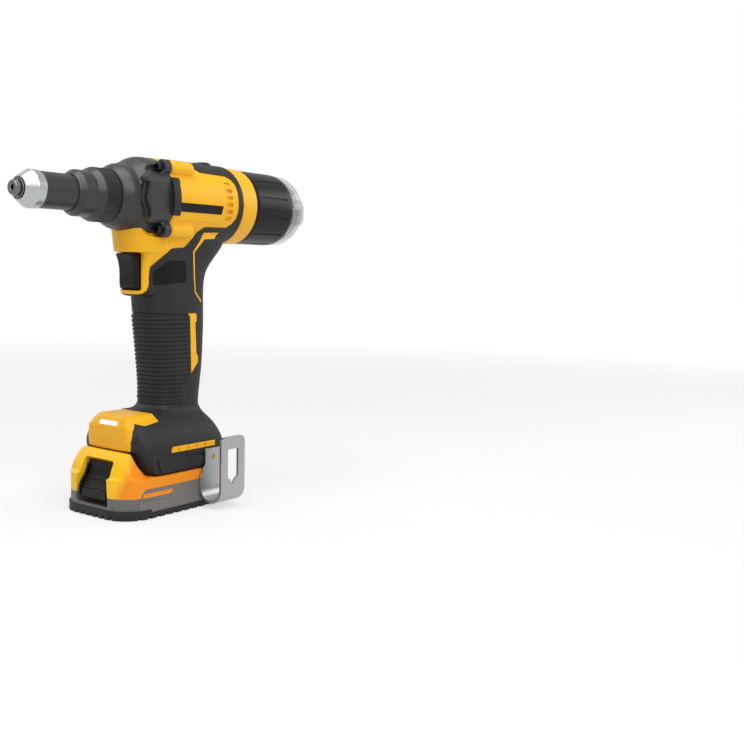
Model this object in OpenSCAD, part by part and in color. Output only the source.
// Battery rivet tool: a pistol-shaped blind riveter with a slide-on battery.
// X runs forward to the nose, Y to the left side, Z up. The origin is the middle of the battery's bottom
// face.

/* [Barrel and nose] */
// Height of the barrel's axis over the floor
axis_z = 228; // [215:1:245]
// Distance of the joint between gear case and housing ahead of the origin
joint_x = 2; // [-3:0.5:6]
// Radius of the housing's barrel
barrel_r = 30.3; // [29.5:0.1:33]
// Thickness of the barrel's wall
barrel_wall = 4.2; // [3:0.1:5]
// Pulling stroke of the jaw head
stroke = 25; // [20:0.5:27]
// Radius of the outer nose tube
nose_tube_r = 12.3; // [11.8:0.1:13.5]
// Wall of the nose tube
nose_tube_wall = 2.7; // [2:0.1:3]
// Length of the nose tube that shows
nose_tube_len = 25.7; // [24:0.1:32]
// Length of the silver nose band
band_len = 6.3; // [5:0.1:9]
// Length of the silver nose cone
cone_len = 7.2; // [5:0.1:10]
// Radius of the cone's front rim
cone_rim_r = 8.4; // [8:0.1:9.5]
// Length that the nose piece stands out of the cone
tip_len = 5; // [3:0.1:8]
// Radius of the nose piece's tip
tip_r = 5; // [4.6:0.1:6]
// Radius of the mandrel hole in the nose piece
mandrel_r = 1.7; // [1.2:0.05:2]

/* [Gear case] */
// Thickness of the gear case's front wall
case_wall = 3.7; // [3:0.1:6]
// How far the gear case's round lies inside the barrel's
case_step = 0.3; // [0:0.1:1]
// How far the gear case's flat sides lie inside the barrel's round
flat_step = 2; // [1:0.1:3]
// Length of the knurled collar
collar_len = 13; // [10:0.1:15]
// Radius of the knurled collar
collar_r = 18.7; // [18:0.1:20]
// Number of ridges on the knurled collar
collar_ridges = 72; // [36:4:90]
// Length of the adapter's cone
adapter_cone_len = 5; // [3:0.1:7]
// Length of the adapter's straight step
step_two_len = 9.6; // [6:0.1:12]
// Radius of the adapter's straight step
step_two_r = 15.8; // [15:0.1:17]
// Length of the adapter's front taper
step_one_len = 3.5; // [2:0.1:6]
// Radius of the adapter's front rim
step_one_r = 13.4; // [13:0.1:14.5]
// How far the case screws' circle lies outside the barrel
screw_step = 1.1; // [0.5:0.1:2]
// Radius of a case screw's head
case_screw_r = 3.2; // [2.5:0.1:3.6]

/* [Ball screw and gears] */
// Radius of the ball screw
screw_r = 8; // [7:0.1:8.5]
// Lead of the ball screw
screw_lead = 5; // [3:0.5:8]
// Length of the ball nut
nut_len = 24; // [20:0.5:30]
// Radius of the ball nut
nut_r = 12.5; // [12:0.1:13]
// Length of the thrust bearing
thrust_len = 5; // [4:0.5:7]
// Wall of the ring gear behind its teeth
ring_wall = 3.3; // [2.8:0.1:4]
// Width of the gears
gear_w = 9; // [6:0.5:12]
// Length of the motor's stator
stator_len = 22; // [16:1:26]
// Radius of the rotor
rotor_r = 11; // [10:0.1:12]

/* [Mandrel cup] */
// Length of the yellow tail ring
ring_len = 16.6; // [14:0.1:20]
// How far the yellow tail ring lies inside the barrel's round
ring_step = 0.3; // [0:0.1:1]
// Length of the black cup
cup_len = 44.4; // [36:0.5:56]
// How far the cup's ribs lie inside the barrel's round
cup_step = 0.7; // [0.3:0.1:1.5]
// Wall of the cup
cup_wall = 2; // [1.6:0.1:3]
// Length of the clear end cap
cap_len = 15.5; // [12:0.5:20]
// Length of the end cap's grip bar
grip_bar_len = 23.5; // [15:0.5:24]
// Height of the end cap's grip bar
grip_bar_h = 23; // [18:0.5:28]

/* [Handle] */
// Height of the grip's lower end
grip_low_z = 70; // [66:0.5:74]
// Height of the grip's upper end
grip_top_z = 165; // [160:0.5:168]
// Depth of the grip, front to back
grip_depth = 54; // [50:0.5:58]
// Width of the grip
grip_w = 35; // [33:0.5:40]
// Distance of the grip's middle behind the origin
grip_back = 20; // [18:0.5:22]
// Thickness of the rubber skin
skin = 1.8; // [1.2:0.1:2.4]
// Width of the trigger
trigger_w = 19; // [16:0.5:20]
// Travel of the trigger
trigger_travel = 6; // [4:0.5:7]

/* [Foot and battery] */
// Width of the foot
foot_w = 72; // [68:0.5:76]
// Length of the battery
battery_len = 106; // [103:1:112]
// Width of the battery
battery_w = 75; // [72:0.5:78]
// Height of the battery's body under the foot
battery_h = 29; // [28:0.5:30]
// Height of the battery's front bulge
bulge_h = 46; // [44:0.5:48]
// Height of the black bottom pad
pad_h = 5; // [4:0.5:7]
// Height of the grey lower case's top
grey_h = 16; // [14:0.5:18]
// Travel of the battery's release button
latch_travel = 4; // [2:0.5:5]
// Thickness of the belt hook's steel
hook_t = 2; // [1.5:0.1:2.5]
// Width of the belt hook
hook_w = 25; // [20:0.5:28]

/* [Hidden] */

// General clearances and drawing steps
gap = 0.3;
slip = 0.05;
run_gap = 0.25;
over = 1;
chamfer = 0.6;
$fn = 64;

// Stations along the barrel, from the joint forwards
joint_lap = 5;
nut_rear_x = joint_x + joint_lap;
thrust_x = nut_rear_x + nut_len;
case_seat_x = thrust_x + thrust_len;
case_front_x = case_seat_x + case_wall;
collar_front_x = case_front_x + collar_len;
adapter_cone_x = collar_front_x + adapter_cone_len;
step_two_x = adapter_cone_x + step_two_len;
step_one_x = step_two_x + step_one_len;
tube_front_x = step_one_x + nose_tube_len;
band_front_x = tube_front_x + band_len;
cone_front_x = band_front_x + cone_len;
tip_x = cone_front_x + tip_len;

// Stations from the joint backwards
screw_rear_x = nut_rear_x;
carrier_t = 3;
carrier_front_x = screw_rear_x - stroke - 2 * over;
carrier_rear_x = carrier_front_x - carrier_t;
gear_gap = 0.5;
gear_front_x = carrier_rear_x - gear_gap;
gear_rear_x = gear_front_x - gear_w;
bearing_len = 5;
plate_front_x = gear_rear_x - 2 * gear_gap;
plate_rear_x = plate_front_x - bearing_len;
coil_head = 3;
stator_front_x = plate_rear_x - gear_gap - coil_head;
stator_rear_x = stator_front_x - stator_len;
fan_len = 4;
fan_front_x = stator_rear_x - coil_head - 2 * gear_gap;
fan_rear_x = fan_front_x - fan_len;
bell_front_x = fan_rear_x - 2 * gear_gap;
bell_wall = 1.5;
bell_rear_x = bell_front_x - bearing_len - bell_wall;
tail_lap = 3;
body_rear_x = bell_front_x + tail_lap;
ring_rear_x = body_rear_x - ring_len;
cup_rear_x = ring_rear_x - cup_len;
cap_rear_x = cup_rear_x - cap_len;
bar_rear_x = cap_rear_x - grip_bar_len;

// Radii along the axis
tube_in_r = nose_tube_r - nose_tube_wall;
jaw_case_r = tube_in_r - gap - slip;
mandrel_tube_in = 2;
mandrel_tube_r = 2.35;
shaft_bore_r = mandrel_tube_r + run_gap;
barrel_in_r = barrel_r - barrel_wall;
case_r = barrel_r - case_step;
case_flat = barrel_r - flat_step;
case_screw_circle = barrel_r + screw_step;
ring_r = barrel_r - ring_step;
cup_r = barrel_r - cup_step;
nut_room = 4.5;
chamber_r = nut_r + nut_room;
collar_wall = 3.2;
collar_seat_r = collar_r - collar_wall;
band_step = 0.4;
band_r = nose_tube_r + band_step;
shoulder_step = 0.2;
shoulder_r = band_r + shoulder_step;

// Teeth of the planetary stage: the ring has sun plus twice planet teeth
sun_teeth = 12;
planet_teeth = 18;
ring_teeth = sun_teeth + 2 * planet_teeth;
pressure_angle = 25;
addendum_share = 0.75;
dedendum_share = 1;
backlash = 0.12;
planet_count = 3;
ring_out_r = barrel_in_r - gap;
gear_module = (ring_out_r - ring_wall) / (ring_teeth / 2 + dedendum_share);
planet_dist = gear_module * (sun_teeth + planet_teeth) / 2;
pin_r = 2;
sun_root_r = gear_module * (sun_teeth / 2 - dedendum_share);
sun_wall = 0.7;
shaft_out_r = sun_root_r - sun_wall;
bearing_ring = 5;
air_gap = 0.6;
stator_in_r = rotor_r + air_gap;

// Mandrel jaws
jaw_count = 3;
jaw_len = 15;
jaw_front_gap = 0.6;
jaw_taper = 9.7;
jaw_slot = 0.8;
jaw_teeth_r = mandrel_r;
jaw_room = 1.2;
jaw_case_front_x = tube_front_x - jaw_room;
jaw_front_r = 4.6;
pusher_room = 10.5;
jaw_case_len = jaw_len + pusher_room;
jaw_case_rear_x = jaw_case_front_x - jaw_case_len;
jaw_play = 4;
jaw_cone_len = jaw_len + jaw_play;
jaw_chamber_r = jaw_front_r + jaw_cone_len * tan(jaw_taper);
jaw_front_x = jaw_case_front_x - jaw_front_gap;
jaw_rear_x = jaw_front_x - jaw_len;
pusher_len = 7;
pusher_r = 5;
pusher_bore_r = 2.4;
pusher_rear_x = jaw_rear_x - run_gap - pusher_len;
thread_len = 3;
thread_step = 2;
thread_r = screw_r - thread_step;
screw_front_x = jaw_case_rear_x + thread_len;
spring_turns = 5;
spring_wire_r = 0.55;
spring_r = 3.6;
spring_pocket_r = spring_r + spring_wire_r + gap;
spring_pocket = 9;
spring_rear_x = screw_front_x - spring_pocket;

// Sections of grip, web and foot, from the bottom up. Each row holds a share of the height, the front and
// rear as shares of the depth, a share of the width, and the roundness of the section's corners.
grip_h = grip_top_z - grip_low_z;
grip_shares = [[0.08, 0.4, -0.4, 0.99, 0.62], [0.37, 0.445, -0.48, 0.98, 0.64], [0.72, 0.52, -0.51, 1, 0.64],
    [1, 0.56, -0.5, 1, 0.6]];
web_h = axis_z - grip_top_z;
web_shares = [[0.22, 0.62, -0.57, 1.05, 0.58], [0.42, 0.64, -0.77, 1.12, 0.55],
    [0.55, 0.64, -0.86, 1.18, 0.55],
    [0.66, 0.64, -0.78, 1.1, 0.55]];
foot_low_z = battery_h + gap;
foot_space = grip_low_z - foot_low_z;
foot_shares = [[0, 0.262, -0.475, 1, 0.36], [0.5, 0.37, -0.475, 1, 0.38], [0.76, 0.37, -0.44, 0.84, 0.42],
    [0.94, 0.345, -0.405, 0.62, 0.48], [1.03, 0.1, -0.4, 0.52, 0.55]];
section_points = 24;
body_sections = concat(
    [for (s = foot_shares) [foot_low_z + s[0] * foot_space, s[1] * battery_len, s[2] * battery_len,
    s[3] * foot_w, s[4]]],
    [for (s = grip_shares) [grip_low_z + s[0] * grip_h, s[1] * grip_depth - grip_back,
    s[2] * grip_depth - grip_back,
        s[3] * grip_w, s[4]]],
    [for (s = web_shares) [grip_top_z + s[0] * web_h, s[1] * grip_depth - grip_back,
    s[2] * grip_depth - grip_back,
        s[3] * grip_w, s[4]]]);

// Chin under the gear case and the housing round the trigger
chin_reach = 26;
chin_back = 12;
chin_drop = 39;
chin_h = 19;
chin_w = 42;
chin_front_x = joint_x + chin_reach;
chin_rear_x = joint_x - chin_back;
chin_low_z = axis_z - chin_drop;
chin_top_z = chin_low_z + chin_h;
throat_reach = 15;
throat_back = 2;
throat_drop = 6;
throat_w = 27;
throat_front_x = joint_x + throat_reach;
throat_rear_x = joint_x + throat_back;
throat_low_z = grip_top_z - throat_drop;

// Trigger
tongue_t = 3.5;
trigger_low_z = throat_low_z + tongue_t;
trigger_top_z = chin_low_z - gap;
trigger_h = trigger_top_z - trigger_low_z;
trigger_reach = 23;
trigger_back = 12.5;
trigger_front_x = joint_x + trigger_reach;
trigger_rear_x = joint_x + trigger_back;
trigger_stem_h = 10;
stem_room = 3;
trigger_stem_rear_x = throat_rear_x + stem_room;

// Switch and control module in the grip
switch_w = 17;
switch_front_x = trigger_stem_rear_x - trigger_travel - 2 * over;
switch_len = 28;
switch_rear_x = switch_front_x - switch_len;
switch_low_z = trigger_low_z + over;
switch_h = 24;
module_w = 21;
module_rise = 10;
module_low_z = grip_low_z + module_rise;
module_h = 62;
cavity_w = 24;
cavity_front_share = 0.28;
cavity_rear_share = 0.3;
cavity_front_x = -grip_back + cavity_front_share * grip_depth;
cavity_rear_x = -grip_back - cavity_rear_share * grip_depth;
module_depth = cavity_front_x - cavity_rear_x - 3 * over;

// Foot: channel for the battery's rails, lamp, side strips and hook
channel_w = 46;
channel_neck_w = 37;
lip_h = 4;
channel_h = 12;
channel_rear_share = -0.4;
channel_lip_z = foot_low_z + lip_h;
channel_top_z = battery_h + channel_h;
channel_rear_x = channel_rear_share * battery_len;
block_len = 7;
block_front_x = channel_rear_x + block_len;
blade_len = 14;
rail_w = channel_w - 2 * gap;
rail_neck_w = channel_neck_w - 2 * gap;
rail_lip_z = channel_lip_z + gap;
rail_top_z = channel_top_z - gap;
rail_front_share = 0.25;
rail_front_x = rail_front_share * battery_len;
rail_rear_x = block_front_x + gap;
lamp_share = 0.335;
lamp_x = lamp_share * battery_len;
lamp_w = 20;
lamp_len = 5;
lamp_t = 2.4;
lamp_high_share = 0.9;
lamp_z = foot_low_z + lamp_high_share * foot_space;
strip_len = 44;
strip_h = 4.4;
strip_rise = 17.5;
strip_z = battery_h + strip_rise;
strip_x = -12;
strip_t = 1.2;
hook_share = -0.274;
hook_x = hook_share * battery_len;
hook_reach = 19;
hook_low_z = 4;
hook_h = 51;
hook_top_z = hook_low_z + hook_h;
hook_slot_w = 11;
hook_slot_h = 27;
slot_rise = 15;
leg_rise = 14.5;
hook_slot_low_z = hook_low_z + slot_rise;
hook_leg_z = battery_h + leg_rise;
hook_leg_share = 0.62;
hook_side_y = max(battery_w, foot_w) / 2 + gap;
hook_screw_r = 2.6;
hook_screw_wall = 5;
hook_screw_y = channel_w / 2 + hook_screw_wall;
hook_screw_rise = 8;
hook_screw_z = battery_h + hook_screw_rise;

// Battery
battery_round = 12;
bulge_back = 17.5;
bulge_lean = 12.4;
bulge_side = 11;
latch_w = 32;
latch_rise = 6;
latch_drop = 7;
latch_low_z = pad_h + latch_rise;
latch_top_z = bulge_h - latch_drop;
latch_depth = 9;
latch_t = 3;
latch_ledge_h = 8;
cell_side = 6;
cell_end = 17;
cell_w = battery_w - 2 * cell_side;
cell_len = battery_len - 2 * cell_end;
cell_t = 3.6;
cell_count = 5;
contact_t = 1;
contact_count = 4;
contact_pitch = 9;
blade_h = 4;
blade_rise = 2;
blade_low_z = channel_lip_z + blade_rise;

// Screws
case_head_len = 4;
case_shank_r = 2.1;
boss_r = 5.6;
boss_len = 24;
boss_angles = [45, 135, 225, 315];
spigot_share = 0.78;
house_screw_r = 2.6;
house_screw_len = 5;

function lerp(a, b, t) = a + (b - a) * t;

// A solid of revolution about the barrel's axis; the profile's points are [radius, x]
module lathe(profile) {
    translate([0, 0, axis_z]) rotate([0, 90, 0]) rotate_extrude() polygon(profile);
}

// A tube about the barrel's axis
module ring_part(x0, x1, r_in, r_out) {
    lathe([[r_in, x0], [r_out, x0], [r_out, x1], [r_in, x1]]);
}

// A rod about an axis that runs along X
module rod(x0, x1, r, y = 0, z = axis_z) {
    translate([x0, y, z]) rotate([0, 90, 0]) cylinder(r = r, h = x1 - x0);
}

// One point of a section's outline, a rounded oblong, at the angle a
function section_point(s, inset, a) =
    let (mid = (s[1] + s[2]) / 2, half = (s[1] - s[2]) / 2 - inset, wide = s[3] / 2 - inset)
    [mid + half * sign(cos(a)) * pow(abs(cos(a)), s[4]), wide * sign(sin(a)) * pow(abs(sin(a)), s[4]), s[0]];

// The sections with one more between each two, on a smooth curve through them
function between(a, b, c, d) = (-a + 9 * b + 9 * c - d) / 16;
function finer(list) = let (n = len(list)) [for (i = [0 : n - 1], k = [0, 1]) if (k == 0 || i < n - 1)
    k == 0 ? list[i] : between(list[max(i - 1, 0)], list[i], list[i + 1], list[min(i + 2, n - 1)])];

// A closed body through a list of sections, drawn in by inset
module loft(sections, inset) {
    n = section_points;
    rows = len(sections);
    points = [for (s = sections, k = [0 : n - 1]) section_point(s, inset, 360 / n * (k + 0.5))];
    sides = [for (i = [0 : rows - 2], k = [0 : n - 1], f = [0, 1])
        let (a = i * n + k, b = i * n + (k + 1) % n, c = a + n, d = b + n) f == 0 ? [a, c, b] : [b, c, d]];
    low = [for (k = [0 : n - 1]) k];
    top = [for (k = [0 : n - 1]) (rows - 1) * n + n - 1 - k];
    polyhedron(points = points, faces = concat(sides, [low, top]));
}

// A rounded oblong in the plan
module oblong(len_x, len_y, r) {
    square([len_x - 2 * r, len_y], center = true);
    square([len_x, len_y - 2 * r], center = true);
    for (x = [-1, 1], y = [-1, 1]) translate([x * (len_x / 2 - r), y * (len_y / 2 - r)]) circle(r = r);
}

// Involute of a circle of radius rb, at the radius r: the angle that the flank has turned
function involute_angle(rb, r) = r <= rb ? 0 : sqrt(r * r / (rb * rb) - 1) * 180 / PI - acos(rb / r);

// One flank point of a gear: the half angle of a tooth at radius r
function tooth_half(teeth, m, r, thin) =
    let (rp = teeth * m / 2, rb = rp * cos(pressure_angle))
    90 / teeth - thin / rp * 90 / PI + involute_angle(rb, rp) - involute_angle(rb, max(r, rb));

// Outline of an involute gear, with tip and root radii given by their shares of the module
function gear_outline(teeth, m, out_share, in_share, thin) =
    let (rp = teeth * m / 2, ro = rp + out_share * m, ri = rp - in_share * m, steps = 3)
    [for (t = [0 : teeth - 1], side = [-1, 1], k = [0 : steps])
        let (r = side < 0 ? lerp(ri, ro, k / steps) : lerp(ro, ri, k / steps),
            a = 360 / teeth * t + side * tooth_half(teeth, m, r, thin))
        [r * cos(a), r * sin(a)]];

// A gear of the planetary stage, turned so that its first tooth is at the angle turn
module gear_blank(teeth, turn, bore_r) {
    rotate([0, 0, turn]) difference() {
        linear_extrude(height = gear_w) polygon(gear_outline(teeth, gear_module, addendum_share,
            dedendum_share, backlash));
        translate([0, 0, -over]) cylinder(r = bore_r, h = gear_w + 2 * over);
    }
}

// Places a child that is drawn along Z with its foot at the gears' rear face, at a planet's centre
module at_planet(k) {
    translate([gear_rear_x, 0, axis_z]) rotate([360 / planet_count * k, 0, 0]) translate([0, 0, -planet_dist])
        rotate([0, 90, 0]) children();
}

// Places a child on each of the four screw axes of the gear case
module at_case_screws(x) {
    for (a = boss_angles) translate([x, case_screw_circle * cos(a), axis_z + case_screw_circle * sin(a)])
        rotate([0, 90, 0]) children();
}

// Nose

tail_step = 1;
seat_depth = 2.2;
tail_r = tip_r - tail_step;
seat_x = cone_front_x - seat_depth;

module nose_piece() {
    hex_step = 1.4;
    neck_step = 0.2;
    groove_share = 0.16;
    tail_x = tube_front_x - jaw_front_gap;
    groove_x = cone_front_x + groove_share * tip_len;
    color("dimgray") difference() {
        union() {
            lathe([[0, tail_x], [tail_r - chamfer, tail_x], [tail_r, tail_x + chamfer], [tail_r, seat_x],
                [0, seat_x]]);
            rod(seat_x, groove_x, tip_r + hex_step, $fn = 6);
            lathe([[0, groove_x], [tail_r + neck_step, groove_x], [tail_r + neck_step, groove_x + chamfer],
                [tip_r, groove_x + chamfer], [tip_r, tip_x - 3 * chamfer], [tip_r - 2 * chamfer, tip_x],
                [0, tip_x]]);
        }
        rod(tail_x - over, tip_x + over, mandrel_r);
    }
}

module nose_cone() {
    mouth_step = 2.2;
    cone_floor = 3;
    floor_x = tube_front_x + cone_floor;
    color("gainsboro") lathe([[tube_in_r, tube_front_x], [band_r, tube_front_x],
        [band_r, band_front_x - chamfer],
        [shoulder_r, band_front_x], [cone_rim_r, cone_front_x], [tip_r + mouth_step, cone_front_x],
        [tip_r + mouth_step, seat_x],
        [tail_r + slip, seat_x], [tail_r + slip, floor_x], [tube_in_r, floor_x]]);
}

module nose_tube() {
    color("black") ring_part(collar_front_x, tube_front_x, tube_in_r, nose_tube_r);
}

module nose_adapter() {
    seat_x = case_front_x + spigot_share * collar_len;
    color("dimgray") lathe([[tube_in_r, seat_x], [collar_seat_r, seat_x], [collar_seat_r, collar_front_x],
        [collar_r - chamfer / 2, collar_front_x], [step_two_r + chamfer, adapter_cone_x - chamfer],
        [step_two_r, adapter_cone_x], [step_two_r, step_two_x - chamfer], [step_two_r - chamfer, step_two_x],
        [step_one_r, step_one_x - chamfer], [step_one_r - chamfer, step_one_x],
        [nose_tube_r + slip, step_one_x],
        [nose_tube_r + slip, collar_front_x], [tube_in_r, collar_front_x]]);
}

module knurled_collar() {
    ridge = 0.35;
    in_r = collar_seat_r + slip;
    edge = 2;
    ridge_x0 = case_front_x + edge;
    ridge_x1 = collar_front_x - edge;
    color("dimgray") union() {
        ring_part(case_front_x, collar_front_x, in_r, collar_r - ridge);
        translate([ridge_x0, 0, axis_z]) rotate([0, 90, 0]) linear_extrude(height = ridge_x1 - ridge_x0)
            difference() {
            polygon([for (i = [0 : 2 * collar_ridges - 1]) let (a = 180 / collar_ridges * i,
                r = collar_r - (i % 2) * ridge)
                [r * cos(a), r * sin(a)]]);
            circle(r = in_r + over);
        }
    }
}

// Gear case

// Outer profile of the gear case, grown by extra; radii between collar and case by shares
rise_shares = [0.06, 0.26, 0.4, 0.46];
straight_share = 0.6;
function case_rise(i) = lerp(collar_r, case_r, rise_shares[i]);
function case_profile(extra) = [[0, joint_x], [case_r + extra, joint_x],
    [case_r + extra, joint_x + straight_share * nut_len], [case_rise(3) + extra, thrust_x - thrust_len],
    [case_rise(2) + extra, thrust_x], [case_rise(1) + extra, case_seat_x],
    [case_rise(0) + extra, case_front_x - chamfer], [collar_r + extra, case_front_x + extra],
    [0, case_front_x + extra]];

flange_x = joint_x + boss_len / 4;

module gear_case() {
    spigot_x = case_front_x + spigot_share * collar_len;
    relief_r = case_screw_r + chamfer;
    side_h = 33;
    side_share = 0.8;
    color([0.2, 0.2, 0.21]) difference() {
        union() {
            intersection() {
                lathe(case_profile(0));
                translate([joint_x, -case_flat, axis_z - case_r - over])
                    cube([case_front_x - joint_x, 2 * case_flat, 2 * case_r + 2 * over]);
            }
            translate([joint_x, -case_flat, axis_z - side_h / 2])
                cube([side_share * nut_len, 2 * case_flat, side_h]);
            rod(case_front_x - over, spigot_x, collar_seat_r);
            at_case_screws(joint_x) cylinder(r = boss_r, h = flange_x - joint_x);
        }
        rod(case_seat_x - over, spigot_x + over, tube_in_r);
        rod(joint_x - over, case_seat_x, chamber_r);
        at_case_screws(joint_x - over) cylinder(r = case_shank_r + slip, h = boss_len);
        at_case_screws(flange_x) cylinder(r = relief_r, h = nut_len);
    }
}

module case_screws() {
    color([0.08, 0.08, 0.08]) difference() {
        union() {
            at_case_screws(flange_x) cylinder(r = case_screw_r, h = case_head_len);
            at_case_screws(joint_x - boss_len / 2) cylinder(r = case_shank_r,
                h = boss_len / 2 + flange_x - joint_x + slip);
        }
        at_case_screws(flange_x + case_head_len / 2) cylinder(r = case_screw_r / 2, h = case_head_len,
            $fn = 6);
    }
}

// Pulling head

module jaw_case() {
    color("silver") lathe([[thread_r + slip, jaw_case_rear_x], [jaw_case_r, jaw_case_rear_x],
        [jaw_case_r, jaw_case_front_x - 2 * chamfer], [jaw_case_r - 2 * chamfer, jaw_case_front_x],
        [jaw_front_r, jaw_case_front_x], [jaw_chamber_r, jaw_case_front_x - jaw_cone_len],
        [jaw_chamber_r, screw_front_x], [thread_r + slip, screw_front_x]]);
}

// One of the jaws: a slice of a cone whose middle points to the angle of its place round the axis
module jaw(k) {
    front_r = jaw_front_r + jaw_front_gap * tan(jaw_taper) - run_gap / 2;
    rear_r = front_r + jaw_len * tan(jaw_taper);
    reach = 2 * rear_r;
    half = jaw_slot / 2;
    color("slategray") difference() {
        lathe([[jaw_teeth_r, jaw_rear_x], [rear_r, jaw_rear_x], [front_r, jaw_front_x],
            [jaw_teeth_r, jaw_front_x]]);
        for (s = [-1, 1]) translate([jaw_rear_x - over, 0, axis_z])
            rotate([360 / jaw_count * k + s * 180 / jaw_count, 0, 0])
            translate([0, -reach, s > 0 ? -half : -reach]) cube([jaw_len + 2 * over, 2 * reach,
                reach + half]);
    }
}

module jaw_pusher() {
    head_len = pusher_len / 3;
    color("slategray") lathe([[pusher_bore_r, pusher_rear_x], [spring_r - spring_wire_r - gap, pusher_rear_x],
        [spring_r - spring_wire_r - gap, pusher_rear_x + pusher_len - head_len],
        [pusher_r, pusher_rear_x + pusher_len - head_len],
        [pusher_r, pusher_rear_x + pusher_len], [pusher_bore_r, pusher_rear_x + pusher_len]]);
}

// A coil spring along X as one swept tube, at the height z
module coil(x0, x1, mid_r, wire_r, turns, z) {
    per_turn = 8;
    sides = 6;
    rings = turns * per_turn;
    pitch = (x1 - x0 - 2 * wire_r) / turns;
    points = [for (i = [0 : rings], j = [0 : sides - 1])
        let (a = 360 * i / per_turn, b = 360 * j / sides, r = mid_r + wire_r * cos(b))
        [x0 + wire_r + pitch * i / per_turn + wire_r * sin(b), r * cos(a), z + r * sin(a)]];
    faces = [for (i = [0 : rings - 1], j = [0 : sides - 1], f = [0, 1])
        let (a = i * sides + j, b = i * sides + (j + 1) % sides, c = a + sides, d = b + sides)
        f == 0 ? [a, c, b] : [b, c, d]];
    caps = [for (j = [1 : sides - 2], e = [0, 1]) let (o = e * rings * sides)
        e == 0 ? [o, o + j, o + j + 1] : [o, o + j + 1, o + j]];
    polyhedron(points = points, faces = concat(faces, caps));
    echo(least_gap_in_coil = pitch - 2 * wire_r);
}

module jaw_spring() {
    color("lightsteelblue") coil(spring_rear_x + run_gap, pusher_rear_x + pusher_len * 2 / 3 - run_gap,
        spring_r,
        spring_wire_r, spring_turns, axis_z);
}

module ball_screw() {
    groove = 0.7;
    pocket_r = spring_pocket_r;
    turns = floor((jaw_case_rear_x - screw_rear_x) / screw_lead) - 1;
    groove_shares = [[0.2, 0], [0.5, 0], [0.6, 1], [0.9, 1]];
    color("lightgray") lathe(concat(
        [[shaft_bore_r, screw_rear_x], [screw_r - groove, screw_rear_x]],
        [for (i = [0 : turns - 1], p = groove_shares)
            [screw_r - groove * p[1], screw_rear_x + (i + p[0]) * screw_lead]],
        [[screw_r, screw_rear_x + turns * screw_lead + over], [screw_r, jaw_case_rear_x],
        [thread_r, jaw_case_rear_x],
            [thread_r, screw_front_x], [pocket_r, screw_front_x], [pocket_r, spring_rear_x],
            [shaft_bore_r, spring_rear_x]]));
}

module ball_nut() {
    flange_step = 2.5;
    sleeve_wall = 3;
    carrier_rim = 2;
    flange_r = nut_r + flange_step;
    flange_x = thrust_x - thrust_len;
    sleeve_r = screw_r + sleeve_wall;
    carrier_r = planet_dist + pin_r + carrier_rim;
    color("darkgray") difference() {
        lathe([[shaft_bore_r + gap, carrier_rear_x], [carrier_r, carrier_rear_x],
            [carrier_r, carrier_front_x],
            [sleeve_r, carrier_front_x], [sleeve_r, nut_rear_x], [nut_r, nut_rear_x], [nut_r, flange_x],
            [flange_r, flange_x], [flange_r, thrust_x], [screw_r + run_gap, thrust_x],
            [screw_r + run_gap, carrier_front_x + over], [shaft_bore_r + gap, carrier_front_x + over]]);
        for (k = [0 : planet_count - 1]) at_planet(k) translate([0, 0, gear_w])
            cylinder(r = pin_r + slip / 2, h = carrier_t + 2 * over);
    }
}

module thrust_bearing() {
    race = 1.4;
    in_r = screw_r + 2 * run_gap;
    out_r = chamber_r - gap;
    ball_r = (thrust_len - 2 * race - 2 * slip) / 2;
    ball_ring_r = (in_r + out_r) / 2;
    balls = 18;
    color("lightgray") {
        ring_part(thrust_x + slip, thrust_x + race, in_r, out_r);
        ring_part(case_seat_x - race, case_seat_x - slip, in_r, out_r);
        for (i = [0 : balls - 1]) translate([(thrust_x + case_seat_x) / 2, 0, axis_z])
            rotate([360 / balls * i, 0, 0])
            translate([0, ball_ring_r, 0]) sphere(r = ball_r, $fn = 16);
    }
}

module bearing_at(x0, x1, in_r, out_r) {
    wall = (out_r - in_r) / 3;
    groove = wall / 3;
    lathe([[in_r, x0], [out_r, x0], [out_r, x1], [in_r + 2 * wall, x1], [in_r + 2 * wall, x1 - groove],
        [in_r + wall, x1 - groove], [in_r + wall, x1], [in_r, x1]]);
}

module nut_bearing() {
    seat = 7;
    color("lightgray") bearing_at(nut_rear_x + over, nut_rear_x + over + seat, nut_r + slip,
        chamber_r - slip);
}

// Planetary stage

module planet(k) {
    color("tan") at_planet(k) gear_blank(planet_teeth, 180 / planet_teeth, pin_r + slip);
}

module planet_pins() {
    color("lightgray") for (k = [0 : planet_count - 1]) at_planet(k)
        cylinder(r = pin_r, h = gear_w + gear_gap + carrier_t);
}

module ring_gear() {
    color("tan") translate([gear_rear_x, 0, axis_z]) rotate([0, 90, 0]) linear_extrude(height = gear_w)
        difference() {
        circle(r = ring_out_r);
        rotate([0, 0, 180 + 180 / ring_teeth])
            polygon(gear_outline(ring_teeth, gear_module, dedendum_share, addendum_share, -backlash));
    }
}

module sun_gear() {
    color("tan") translate([gear_rear_x, 0, axis_z]) rotate([0, 90, 0]) gear_blank(sun_teeth, 0, shaft_out_r);
}

module gear_plate() {
    color("gray") ring_part(plate_rear_x, plate_front_x, shaft_out_r + bearing_ring, ring_out_r);
}

module front_bearing() {
    color("lightgray") bearing_at(plate_rear_x, plate_front_x, shaft_out_r + slip,
        shaft_out_r + bearing_ring - slip);
}

// Motor

module rotor_shaft() {
    color("lightgray") ring_part(bell_front_x - bearing_len, gear_front_x, shaft_bore_r,
        shaft_out_r - slip / 2);
}

module rotor_core() {
    magnet_t = 2;
    color("dimgray") ring_part(stator_rear_x, stator_front_x, shaft_out_r, rotor_r - magnet_t);
}

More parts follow.
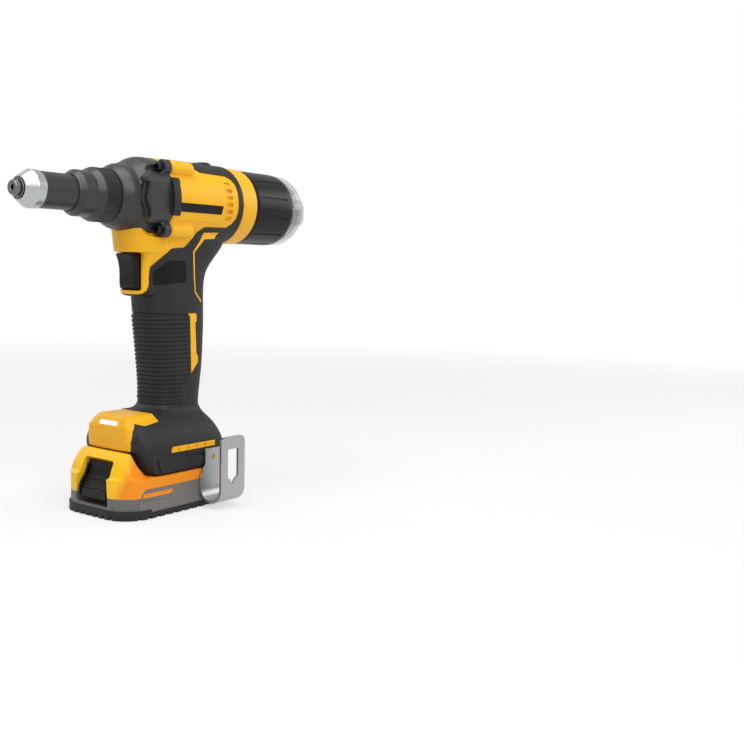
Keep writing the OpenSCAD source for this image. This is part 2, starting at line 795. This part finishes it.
module rotor_magnets() {
    magnet_t = 2;
    poles = 4;
    split = 0.6;
    color([0.3, 0.3, 0.32]) difference() {
        ring_part(stator_rear_x, stator_front_x, rotor_r - magnet_t + slip, rotor_r);
        for (i = [0 : poles - 1]) translate([stator_rear_x - over, 0, axis_z]) rotate([360 / poles * i, 0, 0])
            translate([0, 0, -split / 2]) cube([stator_len + 2 * over, rotor_r + over, split]);
    }
}

stator_slots = 6;
tooth_w = 5;
yoke_t = 3.4;

module stator() {
    color("darkgray") {
        ring_part(stator_rear_x, stator_front_x, ring_out_r - yoke_t, ring_out_r);
        for (i = [0 : stator_slots - 1]) intersection() {
            ring_part(stator_rear_x, stator_front_x, stator_in_r, ring_out_r - yoke_t / 2);
            translate([stator_rear_x, 0, axis_z]) rotate([360 / stator_slots * i, 0, 0])
                translate([0, 0, -tooth_w / 2]) cube([stator_len, ring_out_r, tooth_w]);
        }
    }
}

module windings() {
    wire_w = 2.4;
    shoe = 1.5;
    coil_room = 2.2;
    low_r = stator_in_r + shoe;
    high_r = ring_out_r - yoke_t - coil_room;
    color("peru") for (i = [0 : stator_slots - 1]) translate([0, 0, axis_z])
        rotate([360 / stator_slots * i, 0, 0])
        difference() {
            translate([stator_rear_x - coil_head + slip, low_r, -tooth_w / 2 - wire_w])
                cube([stator_len + 2 * coil_head - 2 * slip, high_r - low_r, tooth_w + 2 * wire_w]);
            translate([stator_rear_x - slip, low_r - over, -tooth_w / 2 - slip])
                cube([stator_len + 2 * slip, high_r - low_r + 2 * over, tooth_w + 2 * slip]);
        }
}

module cooling_fan() {
    blades = 9;
    hub_wall = 3;
    hub_r = shaft_out_r + hub_wall;
    fan_r = ring_out_r - 3 * over;
    plate_t = 1;
    color("black") union() {
        lathe([[shaft_out_r, fan_rear_x], [fan_r, fan_rear_x], [fan_r, fan_rear_x + plate_t],
            [hub_r, fan_rear_x + plate_t], [hub_r, fan_front_x], [shaft_out_r, fan_front_x]]);
        for (i = [0 : blades - 1]) translate([fan_rear_x + plate_t / 2, 0, axis_z])
            rotate([360 / blades * i, 0, 0])
            translate([0, hub_r - over, -plate_t / 2]) cube([fan_len - plate_t / 2 - slip,
                fan_r - hub_r - over, plate_t]);
    }
}

module rear_bearing() {
    color("lightgray") bearing_at(bell_front_x - bearing_len, bell_front_x, shaft_out_r + slip,
        shaft_out_r + bearing_ring - slip);
}

module end_bell() {
    seat_r = shaft_out_r + bearing_ring;
    hub_wall = 2.5;
    hub_r = seat_r + hub_wall;
    web_t = 2;
    color("gray") union() {
        lathe([[mandrel_tube_r + slip, bell_rear_x], [hub_r, bell_rear_x], [hub_r, bell_front_x],
            [seat_r, bell_front_x],
            [seat_r, bell_front_x - bearing_len], [mandrel_tube_r + slip, bell_front_x - bearing_len]]);
        ring_part(bell_rear_x, bell_rear_x + web_t, hub_r - slip, ring_out_r - gap);
    }
}

module mandrel_tube() {
    rear_x = ring_rear_x - gap - cup_wall - over;
    color("lightgray") ring_part(rear_x, gear_front_x + gear_gap, mandrel_tube_in, mandrel_tube_r);
}

// Mandrel cup

ring_in_r = ring_out_r;

module tail_ring() {
    color("gold") lathe([[ring_in_r, ring_rear_x], [ring_r - chamfer, ring_rear_x],
        [ring_r, ring_rear_x + chamfer],
        [ring_r, body_rear_x - chamfer], [ring_r - chamfer, body_rear_x], [ring_in_r, body_rear_x]]);
}

cup_rib = 0.7;
cup_in_r = cup_r - cup_rib - cup_wall;
cup_neck_r = ring_in_r - gap - slip;
seal_t = 0.9;

module mandrel_cup() {
    neck_len = ring_len / 3;
    rib_w = 1.6;
    ribs = 12;
    hole_r = mandrel_tube_r + run_gap;
    floor_x = ring_rear_x - gap;
    rib_rear_share = 0.12;
    rib_front_share = 0.14;
    rib_x0 = cup_rear_x + rib_rear_share * cup_len;
    rib_x1 = ring_rear_x - rib_front_share * cup_len;
    color([0.1, 0.1, 0.1]) union() {
        lathe([[hole_r, floor_x - cup_wall], [cup_in_r, floor_x - cup_wall], [cup_in_r, cup_rear_x],
            [cup_r - 2 * cup_rib, cup_rear_x], [cup_r - cup_rib, cup_rear_x + 2 * cup_rib],
            [cup_r - cup_rib, floor_x],
            [cup_neck_r, floor_x], [cup_neck_r, ring_rear_x + neck_len],
            [cup_neck_r - cup_wall, ring_rear_x + neck_len],
            [cup_neck_r - cup_wall, floor_x], [hole_r, floor_x]]);
        for (i = [0 : ribs - 1]) translate([rib_x0, 0, axis_z]) rotate([360 / ribs * (i + 0.5), 0, 0])
            translate([0, cup_r - 2 * cup_rib, -rib_w / 2]) cube([rib_x1 - rib_x0, 2 * cup_rib, rib_w]);
    }
}

module cup_seal() {
    color("black") ring_part(cup_rear_x - seal_t, cup_rear_x - slip, cup_in_r + slip, cup_r - 3 * cup_rib);
}

module end_cap() {
    wall = 1.8;
    dome_step = 3.2;
    dome_r = cup_r - dome_step;
    lip = 0.9;
    bar_t = 16;
    spigot_len = 3;
    spigot_r = cup_in_r - slip;
    cap_front_x = cup_rear_x - seal_t - slip;
    color([0.85, 0.9, 0.92, 0.4]) union() {
        lathe([[0, cap_rear_x], [dome_r, cap_rear_x], [dome_r + lip, cap_rear_x + lip],
            [dome_r + lip, cap_rear_x + cap_len / 3], [cup_r - lip, cap_rear_x + cap_len / 2],
            [cup_r - lip, cap_front_x],
            [spigot_r, cap_front_x], [spigot_r, cup_rear_x + spigot_len],
            [spigot_r - wall, cup_rear_x + spigot_len],
            [spigot_r - wall, cap_rear_x + cap_len / 2], [dome_r - wall, cap_rear_x + wall],
            [0, cap_rear_x + wall]]);
        for (s = [-1, 1]) rod(bar_rear_x, cap_rear_x + wall, bar_t / 2,
            z = axis_z + s * (grip_bar_h - bar_t) / 2);
        translate([bar_rear_x, -bar_t / 2, axis_z - (grip_bar_h - bar_t) / 2])
            cube([grip_bar_len + wall, bar_t, grip_bar_h - bar_t]);
    }
}

// Housing

bumper_len = 6;
bumper_h = 31;
bumper_t = 1.6;
vent_count = 6;
vent_pitch = 5.4;
vent_h = 2.6;
vent_len = 6;
vent_back = 15.5;
vent_x = body_rear_x + vent_back;
grip_screw_shares = [[-0.36, 1.06, 0.36], [-0.37, 0.3, 0.36]];
foot_screw_shares = [[0.25, 0.62, 0.38], [-0.41, 0.42, 0.38]];
house_screw_places = concat(
    [for (s = grip_screw_shares) [s[0] * grip_depth - grip_back, grip_low_z + s[1] * grip_h, s[2] * grip_w]],
    [for (s = foot_screw_shares) [s[0] * battery_len, foot_low_z + s[1] * foot_space, s[2] * foot_w]]);

// Upper body: barrel, the four screw humps, the chin under the gear case and the housing round the trigger
module upper_body() {
    rod(body_rear_x, joint_x, barrel_r);
    for (a = boss_angles) for (r = [case_screw_circle, case_screw_circle - boss_r / 2])
        rod(joint_x - boss_len, joint_x, boss_r, r * cos(a), axis_z + r * sin(a));
    translate([0, 0, chin_low_z]) linear_extrude(height = chin_top_z - chin_low_z) {
        translate([chin_front_x - chin_w / 2, 0]) circle(r = chin_w / 2);
        translate([chin_rear_x, -chin_w / 2]) square([chin_front_x - chin_w / 2 - chin_rear_x, chin_w]);
    }
    translate([(throat_rear_x + throat_front_x) / 2, 0, throat_low_z])
        linear_extrude(height = chin_top_z - throat_low_z)
        oblong(throat_front_x - throat_rear_x, throat_w, throat_w / 4);
}

// Edges of the bare yellow fields, as shares of the grip's depth and of the height from trigger to barrel,
// and as
// shares of the battery's length and the foot's height
bare_top_shares = [[-1.18, 1], [-1.18, 0.72], [-0.62, 0.72], [-0.32, 0.5], [-0.08, 0.48], [0.26, 0.26],
    [0.27, 0.06],
    [0.34, 0]];
bare_foot_shares = [[0.09, 0.9], [0.09, 1.1], [1, 1.1], [1, 0.44], [0.35, 0.44], [0.33, 0.82], [0.23, 0.87]];

// Where the yellow housing shows through the rubber skin, seen from the side: above the grip and at the
// foot's front
module bare_region() {
    rotate([90, 0, 0]) linear_extrude(height = 2 * foot_w, center = true) {
        polygon(concat([[2 * battery_len, throat_low_z], [2 * battery_len, axis_z]],
            [for (s = bare_top_shares) [s[0] * grip_depth, lerp(throat_low_z, axis_z, s[1])]]));
        polygon([for (s = bare_foot_shares) [s[0] * battery_len, foot_low_z + s[1] * foot_space]]);
    }
}

// Pad on the foot's left side that the belt hook is screwed to
module hook_pad(room) {
    pad_w = hook_leg_share * hook_w + 2 * room;
    translate([hook_x - pad_w / 2, foot_w / 2 - 4 * skin, battery_h + 2 * skin - room])
        cube([pad_w, hook_side_y - foot_w / 2 + 4 * skin, hook_leg_z - battery_h - 2 * skin + 2 * room]);
}

// Everything that the housing leaves room for
module body_hollow() {
    rod(body_rear_x - over, joint_x, barrel_in_r);
    lathe(case_profile(gap));
    at_case_screws(joint_x - boss_len / 2 - over) cylinder(r = case_shank_r + slip, h = boss_len);
    rod(case_front_x, collar_front_x, collar_r + gap);
    at_case_screws(joint_x) cylinder(r = boss_r + gap, h = battery_len);
    translate([trigger_stem_rear_x, -trigger_w / 2 - gap, trigger_low_z - gap])
        cube([trigger_front_x + over - trigger_stem_rear_x, trigger_w + 2 * gap, trigger_h + 2 * gap]);
    translate([switch_rear_x - gap, -switch_w / 2 - gap, switch_low_z - gap])
        cube([trigger_rear_x - switch_rear_x + gap, switch_w + 2 * gap, switch_h + 2 * gap]);
    translate([cavity_rear_x, -cavity_w / 2, channel_top_z - over])
        cube([cavity_front_x - cavity_rear_x, cavity_w, switch_low_z - channel_top_z]);
    translate([channel_rear_x, -channel_neck_w / 2, foot_low_z - over])
        cube([battery_len - channel_rear_x, channel_neck_w, channel_top_z - foot_low_z + over]);
    translate([channel_rear_x, -channel_w / 2, channel_lip_z])
        cube([battery_len - channel_rear_x, channel_w, channel_top_z - channel_lip_z]);
    translate([lamp_x - lamp_len / 2 - slip, -lamp_w / 2 - slip, lamp_z - lamp_t / 2])
        cube([lamp_len + battery_len, lamp_w + 2 * slip, foot_space]);
    for (s = [-1, 1]) translate([strip_x, s * foot_w / 2, strip_z])
        cube([strip_len + 2 * slip, 2 * strip_t + 2 * slip, strip_h + 2 * slip], center = true);
    translate([hook_x, hook_screw_y - over, hook_screw_z]) rotate([-90, 0, 0])
        cylinder(r = hook_screw_r / 2 + slip, h = foot_w);
    for (p = house_screw_places) translate([p[0], house_screw_len, p[1]]) rotate([90, 0, 0])
        cylinder(r = house_screw_r / 2 + slip, h = p[2] + house_screw_len);
    for (p = house_screw_places) translate([p[0], -p[2] + house_screw_len / 2, p[1]]) rotate([90, 0, 0])
        cylinder(r = house_screw_r + slip, h = foot_w);
    for (s = [-1, 1]) translate([joint_x - bumper_len / 2, s * barrel_r, axis_z])
        cube([bumper_len + 2 * slip, 2 * bumper_t + 2 * slip, bumper_h + 2 * slip], center = true);
    for (s = [-1, 1], i = [0 : vent_count - 1])
        translate([vent_x, s * barrel_r, axis_z + (i - (vent_count - 1) / 2) * vent_pitch])
        cube([vent_len, 3 * barrel_wall, vent_h], center = true);
}

// Half space of the left or right half; side is 1 for the left, -1 for the right
module half_space(side) {
    translate([-2 * battery_len, side > 0 ? slip / 2 : -2 * foot_w - slip / 2, 0])
        cube([4 * battery_len, 2 * foot_w, 2 * axis_z]);
}

// One half of the yellow housing
module half_housing(side) {
    color("gold") intersection() {
        difference() {
            union() {
                upper_body();
                loft(finer(body_sections), skin);
                intersection() {
                    loft(finer(body_sections), 0);
                    bare_region();
                }
                if (side > 0) hook_pad(0);
            }
            body_hollow();
        }
        half_space(side);
    }
}

// One half of the rubber skin on grip, web and foot
module half_grip(side) {
    color([0.13, 0.13, 0.14]) intersection() {
        difference() {
            loft(finer(body_sections), 0);
            loft(finer(body_sections), skin - slip);
            upper_body();
            bare_region();
            if (side > 0) hook_pad(slip);
            body_hollow();
        }
        half_space(side);
    }
}

module left_housing() half_housing(1);

module right_housing() half_housing(-1);

module left_grip() half_grip(1);

module right_grip() half_grip(-1);

module side_bumpers() {
    color("black") for (s = [-1, 1]) translate([joint_x - bumper_len / 2, s * barrel_r, axis_z])
        cube([bumper_len, 2 * bumper_t, bumper_h], center = true);
}

module housing_screws() {
    color([0.1, 0.1, 0.1]) for (p = house_screw_places) translate([p[0], 0, p[1]]) rotate([90, 0, 0]) {
        translate([0, 0, house_screw_len / 2]) cylinder(r = house_screw_r / 2, h = p[2] - house_screw_len);
        translate([0, 0, p[2] - house_screw_len / 2]) difference() {
            cylinder(r = house_screw_r, h = house_screw_len / 2);
            translate([0, 0, house_screw_len / 4]) cylinder(r = house_screw_r / 2, h = house_screw_len,
                $fn = 6);
        }
    }
}

// Trigger and electrics

module trigger() {
    dish_r = 34;
    dish = 4;
    dish_share = 0.46;
    mid_z = trigger_low_z + dish_share * trigger_h;
    color([0.07, 0.07, 0.07]) union() {
        difference() {
            translate([trigger_rear_x, -trigger_w / 2, trigger_low_z])
                cube([trigger_front_x - trigger_rear_x, trigger_w, trigger_h]);
            translate([trigger_front_x + dish_r - dish, over - foot_w / 2, mid_z]) rotate([-90, 0, 0])
                cylinder(r = dish_r, h = foot_w);
        }
        translate([trigger_stem_rear_x, -trigger_w / 4, trigger_low_z + trigger_h / 2 - trigger_stem_h / 2])
            cube([trigger_rear_x - trigger_stem_rear_x + over, trigger_w / 2, trigger_stem_h]);
    }
}

module trigger_spring() {
    wire_r = 0.45;
    turns = 4;
    color("lightsteelblue") coil(switch_front_x + slip, trigger_stem_rear_x - slip, trigger_stem_h / 3,
        wire_r, turns,
        trigger_low_z + trigger_h / 2);
}

module switch_body() {
    color("dimgray") translate([switch_rear_x, -switch_w / 2, switch_low_z])
        cube([switch_front_x - switch_rear_x, switch_w, switch_h]);
}

module control_module() {
    wall = 2;
    color("darkslategray") difference() {
        translate([cavity_rear_x + gap, -module_w / 2, module_low_z])
            cube([module_depth, module_w, module_h]);
        translate([cavity_rear_x + gap + wall, wall - module_w / 2, module_low_z + wall])
            cube([module_depth, module_w - 2 * wall, module_h - 2 * wall]);
    }
}

// Place of a contact across the channel
function contact_y(i) = (i - (contact_count - 1) / 2) * contact_pitch;

module terminal_block() {
    color("black") difference() {
        translate([channel_rear_x + slip, slip - channel_w / 2, channel_lip_z + slip])
            cube([block_len - slip, channel_w - 2 * slip, channel_top_z - channel_lip_z - 2 * slip]);
        for (i = [0 : contact_count - 1]) translate([channel_rear_x + over,
            contact_y(i) - contact_t / 2 - slip, blade_low_z - slip])
            cube([block_len, contact_t + 2 * slip, blade_h + 2 * slip]);
    }
}

module terminal_blades() {
    color("goldenrod") for (i = [0 : contact_count - 1])
        translate([channel_rear_x + over + slip, contact_y(i) - contact_t / 2, blade_low_z])
        cube([block_len - over - slip + blade_len, contact_t, blade_h]);
}

module lamp_lens() {
    color("white") translate([lamp_x - lamp_len / 2, -lamp_w / 2, lamp_z - lamp_t / 2])
        cube([lamp_len, lamp_w, lamp_t]);
}

module foot_strips() {
    dents = 4;
    color("gold") for (s = [-1, 1]) translate([strip_x, s * foot_w / 2, strip_z]) difference() {
        cube([strip_len, 2 * strip_t, strip_h], center = true);
        for (i = [0 : dents - 1]) translate([(i - (dents - 1) / 2) * strip_len / dents, s * strip_t, 0])
            rotate([90, 0, 0])
            cylinder(r = strip_h / 4, h = strip_t, center = true);
    }
}

// Belt hook

// Steel strip bent to a U: the inner leg on the foot's side, the outer plate with its window
module belt_hook() {
    leg_w = hook_leg_share * hook_w;
    corner = hook_w / 4;
    bend_r = hook_reach / 2 + hook_t;
    plate_h = hook_top_z - hook_low_z - bend_r;
    outer_y = hook_side_y + hook_reach + 2 * hook_t;
    bend_z = hook_low_z + bend_r;
    color("silver") difference() {
        union() {
            translate([hook_x - leg_w / 2, hook_side_y, bend_z]) cube([leg_w, hook_t, hook_leg_z - bend_z]);
            translate([hook_x, outer_y, bend_z]) rotate([90, 0, 0]) linear_extrude(height = hook_t) {
                translate([-hook_w / 2, 0]) square([hook_w, plate_h - corner]);
                translate([corner - hook_w / 2, 0]) square([hook_w - 2 * corner, plate_h]);
                for (x = [-1, 1]) translate([x * (hook_w / 2 - corner), plate_h - corner]) circle(r = corner);
            }
            intersection() {
                translate([hook_x - hook_w / 2, hook_side_y + bend_r, bend_z]) rotate([0, 90, 0])
                    difference() {
                    cylinder(r = bend_r, h = hook_w);
                    translate([0, 0, -over]) cylinder(r = bend_r - hook_t, h = hook_w + 2 * over);
                }
                translate([hook_x - hook_w / 2, hook_side_y, hook_low_z]) cube([hook_w, 2 * bend_r, bend_r]);
            }
        }
        translate([hook_x, hook_side_y - over, hook_screw_z]) rotate([-90, 0, 0])
            cylinder(r = hook_screw_r / 2 + slip, h = hook_t + 2 * over);
        translate([hook_x, outer_y + over, hook_slot_low_z]) rotate([90, 0, 0])
            linear_extrude(height = hook_t + 2 * over)
            polygon([[-hook_slot_w / 2, hook_slot_h], [hook_slot_w / 2, hook_slot_h],
                [hook_slot_w / 2, hook_slot_w / 3],
            [0, 0], [-hook_slot_w / 2, hook_slot_w / 3]]);
    }
}

module hook_screw() {
    color("gold") translate([hook_x, 0, hook_screw_z]) rotate([-90, 0, 0]) {
        translate([0, 0, hook_screw_y]) cylinder(r = hook_screw_r / 2,
            h = hook_side_y + hook_t - hook_screw_y);
        translate([0, 0, hook_side_y + hook_t]) cylinder(r = hook_screw_r, h = hook_t);
    }
}

// Battery

// A block with round upright corners, centred on the battery
module battery_block(z0, z1, inset) {
    translate([0, 0, z0]) linear_extrude(height = z1 - z0)
        oblong(battery_len - 2 * inset, battery_w - 2 * inset, battery_round - inset);
}

module latch_hollow(room) {
    translate([battery_len / 2 - latch_depth - room, -latch_w / 2 - room, latch_low_z - latch_travel - room])
        cube([latch_depth + 2 * over + room, latch_w + 2 * room,
            latch_top_z - latch_low_z + latch_travel + 2 * room]);
}

module cell_hollow() {
    translate([-cell_len / 2 - gap, -cell_w / 2 - gap, pad_h + over])
        cube([cell_len + 2 * gap, cell_w + 2 * gap, cell_count * cell_t + 2 * gap]);
}

module battery_cover() {
    bulge_x = battery_len / 2 - bulge_back;
    color("orange") difference() {
        union() {
            battery_block(grey_h + slip, battery_h, 0);
            hull() {
                intersection() {
                    battery_block(battery_h - over, battery_h, 0);
                    translate([bulge_x - bulge_lean / 2, -battery_w, 0])
                        cube([battery_len, 2 * battery_w, battery_h]);
                }
                translate([bulge_x + bulge_lean / 2, bulge_side - battery_w / 2, bulge_h - over])
                    cube([bulge_back / 2 - bulge_lean / 2, battery_w - 2 * bulge_side, over]);
            }
        }
        latch_hollow(gap);
        cell_hollow();
    }
}

module battery_case() {
    color("gray") difference() {
        battery_block(pad_h + slip, grey_h, chamfer);
        latch_hollow(gap);
        cell_hollow();
    }
}

module battery_pad() {
    color([0.09, 0.09, 0.09]) battery_block(0, pad_h, 0);
}

module battery_latch() {
    front_x = battery_len / 2 - 2 * over;
    color([0.06, 0.06, 0.06]) union() {
        translate([battery_len / 2 - latch_depth, -latch_w / 2, latch_low_z])
            cube([latch_t, latch_w, latch_top_z - latch_low_z]);
        translate([battery_len / 2 - latch_depth, -latch_w / 2, latch_low_z])
            cube([front_x - battery_len / 2 + latch_depth, latch_w, latch_ledge_h]);
    }
}

module cell_stack() {
    color("lightsteelblue") for (i = [0 : cell_count - 1])
        translate([-cell_len / 2, -cell_w / 2, pad_h + over + gap + i * cell_t])
            cube([cell_len, cell_w, cell_t - slip]);
}

module battery_rails() {
    color([0.12, 0.12, 0.12]) difference() {
        union() {
            translate([rail_rear_x, -rail_neck_w / 2, battery_h])
                cube([rail_front_x - rail_rear_x, rail_neck_w, rail_top_z - battery_h]);
            translate([rail_rear_x, -rail_w / 2, rail_lip_z]) cube([rail_front_x - rail_rear_x, rail_w,
                rail_top_z - rail_lip_z]);
        }
        for (i = [0 : contact_count - 1]) translate([rail_rear_x - over, contact_y(i) - contact_t / 2 - gap,
            blade_low_z - gap])
            cube([blade_len + 2 * over, contact_t + 2 * gap, blade_h + 2 * gap]);
    }
}

nose_piece();
nose_cone();
nose_tube();
nose_adapter();
knurled_collar();
gear_case();
case_screws();
jaw_case();
jaw(0);  // jaw_1
jaw(1);  // jaw_2
jaw(2);  // jaw_3
jaw_pusher();
jaw_spring();
ball_screw();
ball_nut();
thrust_bearing();
nut_bearing();
planet(0);  // planet_1
planet(1);  // planet_2
planet(2);  // planet_3
planet_pins();
ring_gear();
sun_gear();
gear_plate();
front_bearing();
rotor_shaft();
rotor_core();
rotor_magnets();
stator();
windings();
cooling_fan();
rear_bearing();
end_bell();
mandrel_tube();
tail_ring();
mandrel_cup();
cup_seal();
end_cap();
left_housing();
right_housing();
left_grip();
right_grip();
side_bumpers();
housing_screws();
trigger();
trigger_spring();
switch_body();
control_module();
terminal_block();
terminal_blades();
lamp_lens();
foot_strips();
belt_hook();
hook_screw();
battery_cover();
battery_case();
battery_pad();
battery_latch();
cell_stack();
battery_rails();
